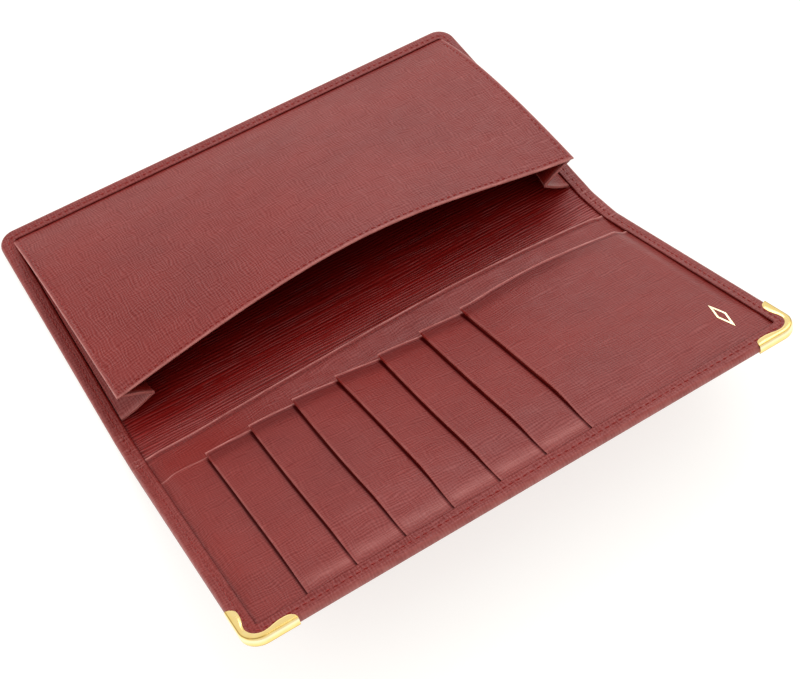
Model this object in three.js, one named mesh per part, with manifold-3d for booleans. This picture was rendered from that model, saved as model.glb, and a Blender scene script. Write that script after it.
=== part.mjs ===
// A long bifold wallet with a bellows pocket in one half and seven card slots in the other.
// Millimetres, +Z up. The origin is the centre of the underside of the far half, which lies flat.
// +X runs along the spine, +Y points away from the spine across the far half.

import * as THREE from 'three';
import { mergeVertices } from 'three/addons/utils/BufferGeometryUtils.js';
import Module from 'manifold-3d';

const wasm = await Module();
wasm.setup();

// ---- Driving dimensions -------------------------------------------------------------------

const LENGTH = 190; // along the spine
const FAR_DEPTH = 96; // spine fold to the outer edge, far half
const SPINE_WIDTH = 19; // between the two fold lines
const NEAR_DEPTH = 91.3; // spine fold to the outer edge, near half
const FOLD_DEG = 11.85; // how far each of the two folds is bent at rest
const FOLD_LINE_Z = 0.45; // the folds run through the middle of the outer leather
const FOLD_RELIEF = 0.3; // spare room at each fold when the wallet is shut

const OUTER_CORNER_R = 6.5; // far corners
const BRASS_CORNER_R = 4; // near corners, under the corner protectors
const BORDER_WIDTH = 5.3; // leather turned over onto the inside
const BOARD_INSET = 1.4; // the stiffening boards stop short of the edges
const GAP = 0.3; // room kept beside a neighbour
const LAYER_GAP = 0.12; // room kept between stacked layers

// Heights of the layers above the outside of the cover: [bottom, top].
const COVER_Z = [0, 0.9];
const FAR_BOARD_Z = [0.95, 1.65];
const POCKET_LINING_Z = [1.7, 2.05];
const NEAR_BOARD_Z = [1.02, 1.45];
const NEAR_LINING_Z = [1.57, 1.85];
const BORDER_Z = [2.1, 3.0];
const SLIP_PANEL_Z = [1.97, 2.45];
const CARD_BACKING_Z = [2.57, 2.8];
const CARD_BASE_Z = [2.92, 3.5];
const SPINE_LINING_Z = [1.02, 1.6];
const SPINE_BORDER_Z = [1.72, 2.55];

const THREAD_WIDTH = 0.5;
const THREAD_HEIGHT = 0.3;
const THREAD_INSET = 2.6; // border stitching, from the outer edge

// Card slots: leather strips laid like shingles, each opening towards -X.
const SLOT_COUNT = 7;
const SLOT_FIRST_X = -73.4;
const SLOT_PITCH = 15.93;
const SLOT_DEPTH = 44.5; // how far a strip reaches to the right under the next ones
const SLOT_THICKNESS = 0.85;
const SLOT_STEP = 1.02; // height that each strip below adds
const SLOT_RAMP = 6; // length over which the strips above come down past a strip's end
const CARD_TOP = 10.6; // spine-side edge of the card panel, from the fold
const SLIP_STITCH_INSET = 2.4;

// Front panel of the bellows pocket, hinged at its far seam.
const FLAP_HINGE_INSET = 5.6; // from the far outer edge
const FLAP_HINGE_Z = 3.4;
const FLAP_TILT_DEG = 9.35;
const FLAP_LENGTH = 87.6;
const FLAP_FAR_HALF_WIDTH = 90.3;
const FLAP_MOUTH_HALF_WIDTH = 88;
const FLAP_RISE = 4.5; // how far the open edge arches up in the middle
const FLAP_LINING_Z = [0, 0.4];
const FLAP_LEATHER_Z = [0.6, 1.6];
const FLAP_STITCH_INSET = 2.4;
const FLAP_THREAD_STEPS = 70;

// Gussets: two leather triangles at each side, folded inwards in a V.
const GUSSET_T = 0.5;
const GUSSET_FOLD_DEG = 32;
const GUSSET_START = 12; // from the far seam, where the V is too narrow to matter
const GUSSET_LOWER_X = 89.2;
const GUSSET_LOWER_WIDTH = 13;
const GUSSET_LOWER_Z = 2.2;
const GUSSET_UPPER_X = 88.2;
const GUSSET_UPPER_WIDTH = 12.6;

// Brass corner protectors.
const BRASS_ARM = 15.5;
const BRASS_T = 0.4;
const BRASS_BELLY = 2.9; // widest part of the flange
const BRASS_WAIST = 2.1; // narrowest part, next to the corner
const BRASS_CLEAR = 0.08;

const FOIL_CENTRE = [81, 72]; // along X, and from the fold
const FOIL_SIZE = [3.4, 13]; // lozenge width and length
const FOIL_LINE = 0.55;
const FOIL_T = 0.14;

const ARC_STEPS = 7;

// ---- Materials ----------------------------------------------------------------------------

const finish = (color, roughness, metalness = 0) =>
  new THREE.MeshStandardMaterial({ color, roughness, metalness });

const LOOKS = {
  leather: () => finish(0x6b1f22, 0.5),
  darkLeather: () => finish(0x551418, 0.45),
  thread: () => finish(0x8a1f24, 0.8),
  board: () => finish(0xb9a98a, 0.9),
  fabric: () => finish(0x2c1a1b, 0.95),
  brass: () => finish(0xe2b454, 0.2, 1),
};

// ---- Helpers ------------------------------------------------------------------------------

const radians = THREE.MathUtils.degToRad;

function addMesh(parent, name, geometry, look) {
  const mesh = new THREE.Mesh(geometry, LOOKS[look]());
  mesh.name = name;
  parent.add(mesh);
  return mesh;
}

function addGroup(parent, x, y, z) {
  const group = new THREE.Group();
  group.position.set(x, y, z);
  parent.add(group);
  return group;
}

/** A flat plate with the given outline, between two heights. */
function plate(shape, [bottom, top]) {
  const geometry = new THREE.ExtrudeGeometry(shape, {
    depth: top - bottom,
    bevelEnabled: false,
    curveSegments: ARC_STEPS,
  });
  return geometry.translate(0, 0, bottom);
}

function rectangle(x0, x1, y0, y1) {
  const shape = new THREE.Shape();
  shape.moveTo(x0, y0);
  shape.lineTo(x1, y0);
  shape.lineTo(x1, y1);
  shape.lineTo(x0, y1);
  shape.closePath();
  return shape;
}

/**
 * Points of one half's outline from its left fold end round the outer edge to its right fold end.
 * side is +1 where the half lies towards +Y and -1 where it lies towards -Y.
 */
function edgePoints(halfWidth, start, end, radius, side) {
  const points = [new THREE.Vector2(-halfWidth, side * start)];
  for (const cornerX of [-1, 1]) {
    for (let i = 0; i <= ARC_STEPS; i += 1) {
      const share = cornerX < 0 ? i / ARC_STEPS : 1 - i / ARC_STEPS;
      const angle = (share * Math.PI) / 2;
      const x = cornerX * (halfWidth - radius + radius * Math.cos(angle));
      const y = side * (end - radius + radius * Math.sin(angle));
      points.push(new THREE.Vector2(x, y));
    }
  }
  points.push(new THREE.Vector2(halfWidth, side * start));
  return points;
}

const halfOutline = (...args) => new THREE.Shape(edgePoints(...args));

/** The U-shaped band between two insets from a half's outer edge. */
function rim(start, depth, radius, side, outerInset, innerInset) {
  const outer = edgePoints(
    LENGTH / 2 - outerInset, start, depth - outerInset, Math.max(radius - outerInset, 0.8), side,
  );
  const inner = edgePoints(
    LENGTH / 2 - innerInset, start, depth - innerInset, Math.max(radius - innerInset, 0.6), side,
  );
  return new THREE.Shape([...outer, ...inner.reverse()]);
}

/** How far a layer stops short of a fold line, so that it clears the next part when shut. */
const foldCut = ([, top]) => top - FOLD_LINE_Z + FOLD_RELIEF;

/** Lower a plate from cover heights to a group whose origin lies on a fold line. */
const fromFold = ([bottom, top]) => [bottom - FOLD_LINE_Z, top - FOLD_LINE_Z];

function toManifold(geometry) {
  const bare = geometry.clone();
  bare.deleteAttribute('normal');
  bare.deleteAttribute('uv');
  const merged = mergeVertices(bare, 1e-4);
  return new wasm.Manifold(new wasm.Mesh({
    numProp: 3,
    vertProperties: Float32Array.from(merged.attributes.position.array),
    triVerts: Uint32Array.from(merged.index.array),
  }));
}

function toGeometry(solid) {
  const mesh = solid.getMesh();
  const geometry = new THREE.BufferGeometry();
  geometry.setAttribute('position', new THREE.BufferAttribute(mesh.vertProperties, 3));
  geometry.setIndex(new THREE.BufferAttribute(mesh.triVerts, 1));
  geometry.computeVertexNormals();
  return geometry;
}

// ---- Far half: cover, board, pocket lining, turned border -------------------------------------

function addFarHalf(root) {
  const far = addGroup(root, 0, -FAR_DEPTH / 2, 0);
  const halfLength = LENGTH / 2;
  const cover = halfOutline(halfLength, foldCut(COVER_Z), FAR_DEPTH, OUTER_CORNER_R, 1);
  addMesh(far, 'outer_cover_far', plate(cover, COVER_Z), 'leather');

  const insets = [['board_far', FAR_BOARD_Z, 'board'], ['pocket_lining', POCKET_LINING_Z, 'darkLeather']];
  for (const [name, heights, look] of insets) {
    const outline = halfOutline(
      halfLength - BOARD_INSET, foldCut(heights), FAR_DEPTH - BOARD_INSET, OUTER_CORNER_R - BOARD_INSET, 1,
    );
    addMesh(far, name, plate(outline, heights), look);
  }

  const border = rim(foldCut(BORDER_Z), FAR_DEPTH, OUTER_CORNER_R, 1, 0, BORDER_WIDTH);
  addMesh(far, 'turned_border_far', plate(border, BORDER_Z), 'leather');
  addMesh(far, 'border_stitching_far', borderThread(FAR_DEPTH, OUTER_CORNER_R, 1, BORDER_Z), 'thread');
}

function borderThread(depth, radius, side, heights) {
  const band = rim(foldCut(BORDER_Z) + 1, depth, radius, side, THREAD_INSET, THREAD_INSET + THREAD_WIDTH);
  return plate(band, threadOn(heights));
}

function threadOn([, top]) {
  const bottom = top + LAYER_GAP / 2;
  return [bottom, bottom + THREAD_HEIGHT];
}

// ---- Bellows pocket: arched front panel and folded gussets -------------------------------------

/** Height of the arch at a point of the panel; y runs from 0 at the seam to -FLAP_LENGTH. */
function archHeight(x, y) {
  const towardsMouth = -y / FLAP_LENGTH;
  const across = x / FLAP_MOUTH_HALF_WIDTH;
  return FLAP_RISE * towardsMouth * Math.max(1 - across * across, 0);
}

function bendToArch(geometry) {
  const position = geometry.attributes.position;
  for (let i = 0; i < position.count; i += 1) {
    const lift = archHeight(position.getX(i), position.getY(i));
    position.setZ(i, position.getZ(i) + lift);
  }
  geometry.computeVertexNormals();
  return geometry;
}

/** A sheet of the front panel: narrower at the mouth, arched up in the middle. */
function archedSheet(inset, [bottom, top]) {
  const length = FLAP_LENGTH - inset;
  const sheet = new THREE.BoxGeometry(2, length, top - bottom, 16, 6, 1);
  sheet.translate(0, -length / 2, (top + bottom) / 2);
  const position = sheet.attributes.position;
  for (let i = 0; i < position.count; i += 1) {
    const share = -position.getY(i) / FLAP_LENGTH;
    const halfWidth = THREE.MathUtils.lerp(FLAP_FAR_HALF_WIDTH, FLAP_MOUTH_HALF_WIDTH, share) - inset;
    position.setX(i, position.getX(i) * halfWidth);
  }
  return bendToArch(sheet);
}

/** The stitching along the sides and the open edge of the front panel: one thread, laid in a U. */
function flapThread() {
  const height = FLAP_LEATHER_Z[1] + GAP + THREAD_WIDTH / 2;
  const onPanel = (x, y) => new THREE.Vector3(x, y, height + archHeight(x, y));
  const mouthX = FLAP_MOUTH_HALF_WIDTH - FLAP_STITCH_INSET;
  const mouthY = -(FLAP_LENGTH - FLAP_STITCH_INSET);
  const side = [0.05, 0.3, 0.6, 0.85, 0.985].map((share) => {
    const x = THREE.MathUtils.lerp(FLAP_FAR_HALF_WIDTH - FLAP_STITCH_INSET, mouthX, share);
    return onPanel(x, mouthY * share);
  });
  const mouth = [-0.985, -0.75, -0.5, -0.25, 0, 0.25, 0.5, 0.75, 0.985].map(
    (share) => onPanel(mouthX * share, mouthY),
  );
  const left = side.map((point) => new THREE.Vector3(-point.x, point.y, point.z));
  const route = new THREE.CatmullRomCurve3([...left, ...mouth, ...side.reverse()], false, 'centripetal');
  const section = new THREE.Shape();
  section.absarc(0, 0, THREAD_WIDTH / 2, 0, Math.PI * 2);
  return new THREE.ExtrudeGeometry(section, {
    steps: FLAP_THREAD_STEPS,
    extrudePath: route,
    bevelEnabled: false,
    curveSegments: 3,
  });
}

/** One triangular gusset face, hinged along x = 0; inward is +1 where it reaches towards +X. */
function gussetFace(width, length, inward, heights) {
  const shape = new THREE.Shape();
  shape.moveTo(0, -GUSSET_START);
  shape.lineTo((inward * width * GUSSET_START) / length, -GUSSET_START);
  shape.lineTo(inward * width, -length);
  shape.lineTo(0, -length);
  shape.closePath();
  return plate(shape, heights);
}

function addPocket(root) {
  const hingeY = FAR_DEPTH / 2 - FLAP_HINGE_INSET;
  const flap = addGroup(root, 0, hingeY, FLAP_HINGE_Z);
  flap.rotation.x = -radians(FLAP_TILT_DEG);
  addMesh(flap, 'pocket_front_panel', archedSheet(0, FLAP_LEATHER_Z), 'leather');
  addMesh(flap, 'pocket_front_lining', archedSheet(1.2, FLAP_LINING_Z), 'darkLeather');
  addMesh(flap, 'pocket_front_stitching', flapThread(), 'thread');

  const lowerLength = hingeY + FAR_DEPTH / 2 - foldCut(BORDER_Z) - 0.5;
  for (const [side, inward] of [['left', 1], ['right', -1]]) {
    const lower = addGroup(root, -inward * GUSSET_LOWER_X, hingeY, GUSSET_LOWER_Z);
    lower.rotation.y = -inward * radians(GUSSET_FOLD_DEG);
    const lowerFace = gussetFace(GUSSET_LOWER_WIDTH, lowerLength, inward, [0, GUSSET_T]);
    addMesh(lower, `gusset_lower_${side}`, lowerFace, 'leather');

    const upper = addGroup(flap, -inward * GUSSET_UPPER_X, 0, -LAYER_GAP);
    upper.rotation.y = inward * radians(GUSSET_FOLD_DEG);
    const upperFace = gussetFace(GUSSET_UPPER_WIDTH, FLAP_LENGTH - 0.6, inward, [-GUSSET_T, 0]);
    addMesh(upper, `gusset_upper_${side}`, upperFace, 'leather');
  }
}

// ---- Spine: cover, ribbed lining, turned border -------------------------------------------------

function addSpine(root) {
  const spine = addGroup(root, 0, -FAR_DEPTH / 2, FOLD_LINE_Z);
  spine.rotation.x = -radians(FOLD_DEG);
  const strip = (x0, x1, heights, extraCut = 0) => {
    const cut = foldCut(heights) + extraCut;
    return plate(rectangle(x0, x1, -(SPINE_WIDTH - cut), -cut), fromFold(heights));
  };
  const halfLength = LENGTH / 2;
  addMesh(spine, 'outer_cover_spine', strip(-halfLength, halfLength, COVER_Z), 'leather');
  const liningX = halfLength - BOARD_INSET;
  addMesh(spine, 'spine_lining', strip(-liningX, liningX, SPINE_LINING_Z), 'darkLeather');

  const threadZ = threadOn(SPINE_BORDER_Z);
  for (const [side, sign] of [['left', -1], ['right', 1]]) {
    const edges = (outer, inner) => [sign * (halfLength - outer), sign * (halfLength - inner)].sort((a, b) => a - b);
    const border = strip(...edges(0, BORDER_WIDTH), SPINE_BORDER_Z);
    addMesh(spine, `turned_border_spine_${side}`, border, 'leather');
    const thread = strip(...edges(THREAD_INSET, THREAD_INSET + THREAD_WIDTH), threadZ, 0.6);
    addMesh(spine, `border_stitching_spine_${side}`, thread, 'thread');
  }
  return spine;
}

// ---- Near half: cover, board, slip pocket, card panel, brass corners ------------------------------

function addNearHalf(spine) {
  const near = addGroup(spine, 0, -SPINE_WIDTH, 0);
  near.rotation.x = -radians(FOLD_DEG);
  const halfLength = LENGTH / 2;
  const cover = halfOutline(halfLength, foldCut(COVER_Z), NEAR_DEPTH, BRASS_CORNER_R, -1);
  addMesh(near, 'outer_cover_near', plate(cover, fromFold(COVER_Z)), 'leather');

  const insets = [['board_near', NEAR_BOARD_Z, 'board'], ['near_lining', NEAR_LINING_Z, 'fabric']];
  for (const [name, heights, look] of insets) {
    const outline = halfOutline(
      halfLength - BOARD_INSET, foldCut(heights), NEAR_DEPTH - BOARD_INSET, BRASS_CORNER_R - BOARD_INSET, -1,
    );
    addMesh(near, name, plate(outline, fromFold(heights)), look);
  }

  const innerX = halfLength - BORDER_WIDTH - GAP;
  const innerEnd = NEAR_DEPTH - BORDER_WIDTH - GAP;
  const panel = (name, start, heights, look) => {
    const outline = rectangle(-innerX, innerX, -innerEnd, -start);
    addMesh(near, name, plate(outline, fromFold(heights)), look);
  };
  const slipStart = foldCut(SLIP_PANEL_Z);
  panel('slip_pocket_panel', slipStart, SLIP_PANEL_Z, 'leather');
  panel('card_backing', CARD_TOP + 0.5, CARD_BACKING_Z, 'fabric');
  panel('card_base_panel', CARD_TOP, CARD_BASE_Z, 'leather');

  const stitchStart = slipStart + SLIP_STITCH_INSET;
  const slipThread = rectangle(-innerX + 0.5, innerX - 0.5, -(stitchStart + THREAD_WIDTH), -stitchStart);
  addMesh(near, 'slip_pocket_stitching', plate(slipThread, fromFold(threadOn(SLIP_PANEL_Z))), 'thread');

  addCardSlots(near, innerX, innerEnd);

  const border = rim(foldCut(BORDER_Z), NEAR_DEPTH, BRASS_CORNER_R, -1, 0, BORDER_WIDTH);
  addMesh(near, 'turned_border_near', plate(border, fromFold(BORDER_Z)), 'leather');
  const thread = nearThread();
  addMesh(near, 'border_stitching_near', thread, 'thread');

  addMesh(near, 'corner_protector_left', brassCorner(-1), 'brass');
  addMesh(near, 'corner_protector_right', brassCorner(1), 'brass');
  addFoil(near);
}

/** The near border's stitching passes inside the brass corners' flanges. */
function nearThread() {
  const inset = BRASS_BELLY + GAP;
  const band = rim(foldCut(BORDER_Z) + 1, NEAR_DEPTH, BRASS_CORNER_R, -1, inset, inset + THREAD_WIDTH);
  return plate(band, fromFold(threadOn(BORDER_Z)));
}

const slotX = (index) => SLOT_FIRST_X + SLOT_PITCH * index;

/** Height of strip `index` over the base panel at x: one step for each earlier strip still below it. */
function stripLevel(index, x) {
  let level = 0;
  for (let below = 0; below < index; below += 1) {
    const pastEnd = (x - (slotX(below) + SLOT_DEPTH)) / SLOT_RAMP;
    level += THREE.MathUtils.clamp(1 - pastEnd, 0, 1);
  }
  return level * SLOT_STEP;
}

/** One strip's cross-section along X, extruded along the slot's edge. */
function stripGeometry(index, xEnd, start, end) {
  const xStart = slotX(index);
  const stops = [xStart, xEnd];
  for (let below = 0; below < index; below += 1) {
    const drop = slotX(below) + SLOT_DEPTH;
    stops.push(drop, drop + SLOT_RAMP);
  }
  const inside = stops.filter((x) => x >= xStart && x <= xEnd).sort((a, b) => a - b);
  const base = CARD_BASE_Z[1] + LAYER_GAP - FOLD_LINE_Z;
  const bottom = inside.map((x) => new THREE.Vector2(x, base + stripLevel(index, x)));
  const top = bottom.map((p) => new THREE.Vector2(p.x, p.y + SLOT_THICKNESS)).reverse();
  const geometry = new THREE.ExtrudeGeometry(new THREE.Shape([...bottom, ...top]), {
    depth: end - start,
    bevelEnabled: false,
  });
  return geometry.rotateX(Math.PI / 2).translate(0, -start, 0);
}

function addCardSlots(near, innerX, innerEnd) {
  for (let index = 0; index < SLOT_COUNT; index += 1) {
    const last = index === SLOT_COUNT - 1;
    const xEnd = last ? innerX : slotX(index) + SLOT_DEPTH;
    const strip = stripGeometry(index, xEnd, CARD_TOP, innerEnd);
    addMesh(near, `card_slot_${index + 1}`, strip, 'leather');
  }
}

/** Outline of the brass flange: an L whose inner edge swells at the end of each arm. */
function brassFlange(sign) {
  const outer = BRASS_CLEAR + BRASS_T;
  const cornerX = LENGTH / 2;
  const at = (a, b) => new THREE.Vector2(sign * (cornerX - a), -(NEAR_DEPTH - b));
  const radius = BRASS_CORNER_R;
  const points = [at(-outer, BRASS_ARM)];
  for (let i = 0; i <= ARC_STEPS; i += 1) {
    const angle = ((i / ARC_STEPS) * Math.PI) / 2;
    const reach = radius + outer;
    points.push(at(radius - reach * Math.cos(angle), radius - reach * Math.sin(angle)));
  }
  points.push(at(BRASS_ARM, -outer));
  const innerEdge = [
    [BRASS_ARM, 1.2],
    [BRASS_ARM - 1, 2.2],
    [BRASS_ARM - 2.6, BRASS_BELLY],
    [BRASS_ARM - 5.5, BRASS_BELLY - 0.2],
    [BRASS_ARM - 8.5, BRASS_WAIST],
    [4.6, BRASS_WAIST - 0.1],
    [3.2, 2.4],
  ];
  for (const [along, across] of innerEdge) {
    points.push(at(along, across));
  }
  for (const [along, across] of innerEdge.slice(0, -1).reverse()) {
    points.push(at(across, along));
  }
  return new THREE.Shape(points);
}

/** A brass corner: flanges over and under the leather, joined round the outside edge. */
function brassCorner(sign) {
  const under = COVER_Z[0] - BRASS_CLEAR;
  const over = BORDER_Z[1] + BRASS_CLEAR;
  const full = plate(brassFlange(sign), fromFold([under - BRASS_T, over + BRASS_T]));
  const keepOut = halfOutline(
    LENGTH / 2 + BRASS_CLEAR, NEAR_DEPTH / 2, NEAR_DEPTH + BRASS_CLEAR, BRASS_CORNER_R + BRASS_CLEAR, -1,
  );
  const leatherRoom = plate(keepOut, fromFold([under, over]));
  return toGeometry(toManifold(full).subtract(toManifold(leatherRoom)));
}

/** A plain foil lozenge on the widest strip, near the outer edge. */
function addFoil(near) {
  const lozenge = (inset) => {
    const [x, y] = [FOIL_CENTRE[0], -FOIL_CENTRE[1]];
    const [w, l] = [FOIL_SIZE[0] / 2 - inset, FOIL_SIZE[1] / 2 - inset * 2.5];
    return [[x, y - l], [x + w, y], [x, y + l], [x - w, y]].map(([a, b]) => new THREE.Vector2(a, b));
  };
  const shape = new THREE.Shape(lozenge(0));
  shape.holes.push(new THREE.Path(lozenge(FOIL_LINE)));
  const bottom = CARD_BASE_Z[1] + LAYER_GAP + SLOT_THICKNESS + LAYER_GAP / 2;
  addMesh(near, 'foil_ornament', plate(shape, fromFold([bottom, bottom + FOIL_T])), 'brass');
}

// ---- Assembly --------------------------------------------------------------------------------

const wallet = new THREE.Group();
addFarHalf(wallet);
addPocket(wallet);
const spine = addSpine(wallet);
addNearHalf(spine);

export default wallet;
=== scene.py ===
"""A long leather wallet, part open: a bellows pocket in the far half, seven card slots in the near half.

Lengths are in millimetres up to the point where a mesh is made, and in metres after that.
s runs along the leather from the far half (negative) over the spine (0 to 19) to the near half.
q runs from a half's fold line towards its outer edge, and is negative on the spine.
h is the height above the outside of the cover, measured square to the leather.
"""
import math
import random

import bmesh
import bpy
import numpy as np
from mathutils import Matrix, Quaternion, Vector


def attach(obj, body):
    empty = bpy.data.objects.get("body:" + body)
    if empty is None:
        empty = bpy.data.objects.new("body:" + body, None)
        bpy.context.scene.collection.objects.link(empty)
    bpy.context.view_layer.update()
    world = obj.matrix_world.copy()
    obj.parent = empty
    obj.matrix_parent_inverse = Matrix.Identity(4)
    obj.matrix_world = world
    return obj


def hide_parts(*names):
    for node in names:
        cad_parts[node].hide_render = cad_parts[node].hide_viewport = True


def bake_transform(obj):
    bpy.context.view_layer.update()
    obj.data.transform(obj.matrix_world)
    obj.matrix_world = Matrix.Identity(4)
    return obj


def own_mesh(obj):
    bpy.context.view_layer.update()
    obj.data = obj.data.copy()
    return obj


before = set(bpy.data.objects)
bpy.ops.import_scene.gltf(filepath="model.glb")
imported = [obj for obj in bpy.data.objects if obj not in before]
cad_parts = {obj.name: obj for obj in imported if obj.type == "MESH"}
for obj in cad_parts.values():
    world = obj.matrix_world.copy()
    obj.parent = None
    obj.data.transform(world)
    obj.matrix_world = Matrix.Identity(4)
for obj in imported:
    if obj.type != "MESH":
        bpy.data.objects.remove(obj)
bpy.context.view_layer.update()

MM = 0.001

# ---- Dimensions shared with the CAD ----

HALF_LENGTH = 95.0
FAR_DEPTH = 96.0
NEAR_DEPTH = 91.3
SPINE = 19.0
MID_SPINE = SPINE / 2
FOLD = math.radians(11.85)
FOLD_LINE_H = 0.45
FAR_CENTRE = FAR_DEPTH / 2
FAR_CORNER_R = 6.5
NEAR_CORNER_R = 6.0
BORDER = 5.3
BEND_REACH = 7.0  # each fold is spread this far to both sides of its line

COVER_T = 0.9
EDGE_H = 3.0
SPINE_EDGE_H = 2.55
LINING_TOP = 2.05
SPINE_LINING_TOP = 1.75
THREAD_D = 3.0  # border stitching, from the outer edge

SLOT_X = [-73.4 + 15.93 * i for i in range(7)]
SLOT_REACH = 44.5
SLOT_TOPS = [4.8, 6.3, 7.4, 7.5, 6.9, 7.1, 7.7]  # height of each folded slot edge
LINE_A = -4.2  # the slip pocket's folded edge, from the second fold line
LINE_B = 10.6  # the card panel's folded edge

PANEL_SEAM_Q = 91.5
PANEL_LENGTH = 90.2
PANEL_FAR_W = 90.3
PANEL_MOUTH_W = 88.9
PANEL_SHIFT = 0.3  # the open edge sits this far towards the right

rng = random.Random(7)


def smooth(t):
    t = np.clip(t, 0.0, 1.0)
    return t * t * (3 - 2 * t)


def mix(a, b, t):
    return a + (b - a) * t


def bell(t):
    return np.exp(-(t**2))


def level(value):
    """The same height or thickness everywhere on a sheet."""
    return lambda x, s: value + 0 * x


def pairs(first, second):
    return np.stack([first, second], axis=-1)


def unit(vectors):
    return vectors / np.linalg.norm(vectors, axis=-1, keepdims=True)


def link(name, data):
    obj = bpy.data.objects.new(name, data)
    bpy.context.scene.collection.objects.link(obj)
    return obj


# ---- The bent leather ----

PATH_S = np.arange(-130.0, 140.0, 0.25)
PATH_TURN = FOLD * (
    smooth((PATH_S + BEND_REACH) / (2 * BEND_REACH))
    + smooth((PATH_S - SPINE + BEND_REACH) / (2 * BEND_REACH))
)


def running_sum(rate):
    steps = (rate[1:] + rate[:-1]) / 2 * np.diff(PATH_S)
    return np.concatenate([[0.0], np.cumsum(steps)])


PATH_Y = -PATH_S[0] - FAR_CENTRE - running_sum(np.cos(PATH_TURN))
PATH_Z = FOLD_LINE_H + running_sum(np.sin(PATH_TURN))


def place(x, s, h):
    """Row-frame position, in metres, of points on or above the leather."""
    turn = np.interp(s, PATH_S, PATH_TURN)
    y = np.interp(s, PATH_S, PATH_Y) + (h - FOLD_LINE_H) * np.sin(turn)
    z = np.interp(s, PATH_S, PATH_Z) + (h - FOLD_LINE_H) * np.cos(turn)
    return np.stack([x + 0 * y, y, z], axis=-1) * MM


def far_s(q):
    return -q


def near_s(q):
    return SPINE + q


# ---- The pocket's front panel ----

PANEL_RISE = 17.9  # how far the panel's sides stand open
PANEL_ARCH = 10.4  # how much higher the middle of its open edge is


def panel_height(share, run):
    """Height of the panel above the border's top; share is -1..1 across, run is the way from the seam."""
    side = -0.35 + PANEL_RISE * (1 - np.exp(-run / 42.0)) * (1 + 0.07 * share * run / PANEL_LENGTH)
    peak = share - 0.06 * (1 - share**2)
    arch = PANEL_ARCH * np.cos(np.clip(peak, -1, 1) * math.pi / 2) ** 1.3
    soft = 0.35 * np.sin(2.1 * math.pi * share + 0.8) * np.sin(math.pi * run / PANEL_LENGTH)
    return side + arch * (run / PANEL_LENGTH) ** 1.5 + soft


PANEL_RUNS = np.linspace(0, PANEL_LENGTH, 181)
PANEL_SHARES = np.linspace(-1, 1, 121)


def make_panel_table():
    share, run = np.meshgrid(PANEL_SHARES, PANEL_RUNS, indexing="ij")
    z = panel_height(share, run)
    step = PANEL_RUNS[1] - PANEL_RUNS[0]
    slope = np.diff(z, axis=1) / step
    forward = np.sqrt(np.clip(1 - slope**2, 0.2, 1)) * step
    across = np.zeros_like(z)
    across[:, 1:] = np.cumsum(forward, axis=1)
    return z, across


PANEL_Z, PANEL_Y = make_panel_table()


def look_up(table, share, run):
    a = np.clip((share + 1) / 2 * (len(PANEL_SHARES) - 1), 0, len(PANEL_SHARES) - 1.001)
    b = np.clip(run / PANEL_LENGTH * (len(PANEL_RUNS) - 1), 0, len(PANEL_RUNS) - 1.001)
    i = a.astype(int)
    j = b.astype(int)
    fa = a - i
    fb = b - j
    near = mix(table[i, j], table[i, j + 1], fb)
    far = mix(table[i + 1, j], table[i + 1, j + 1], fb)
    return mix(near, far, fa)


def panel_base(share, run):
    """share across and run down the panel, run as a share of its own length there."""
    length = PANEL_LENGTH - 3.0 * (1 - share**2) * (1 - 0.6 * share)
    way = run * length
    width = mix(PANEL_FAR_W, PANEL_MOUTH_W, run)
    x = share * width + PANEL_SHIFT * run**2
    y = PANEL_SEAM_Q - look_up(PANEL_Y, share, way) - FAR_CENTRE
    z = EDGE_H + look_up(PANEL_Z, share, way)
    return np.stack([x, y, z], axis=-1)


def panel_place(x, run_mm, h):
    """Row-frame position, in metres: x in flat millimetres at the seam, h above the panel's top."""
    share = x / PANEL_FAR_W
    run = run_mm / PANEL_LENGTH
    tiny = 0.01
    base = panel_base(share, run)
    along_x = panel_base(np.clip(share + tiny, -1, 1), run) - panel_base(np.clip(share - tiny, -1, 1), run)
    along_r = panel_base(share, np.clip(run + tiny, 0, 1)) - panel_base(share, np.clip(run - tiny, 0, 1))
    normal = unit(np.cross(along_r, along_x))
    return (base + normal * np.asarray(h)[..., None]) * MM


# ---- Mesh building ----

UV_SPAN = 200.0  # millimetres of leather in one unit of UV
RUB_AND_HIGHLIGHT_WIDTH = 0.45


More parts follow.
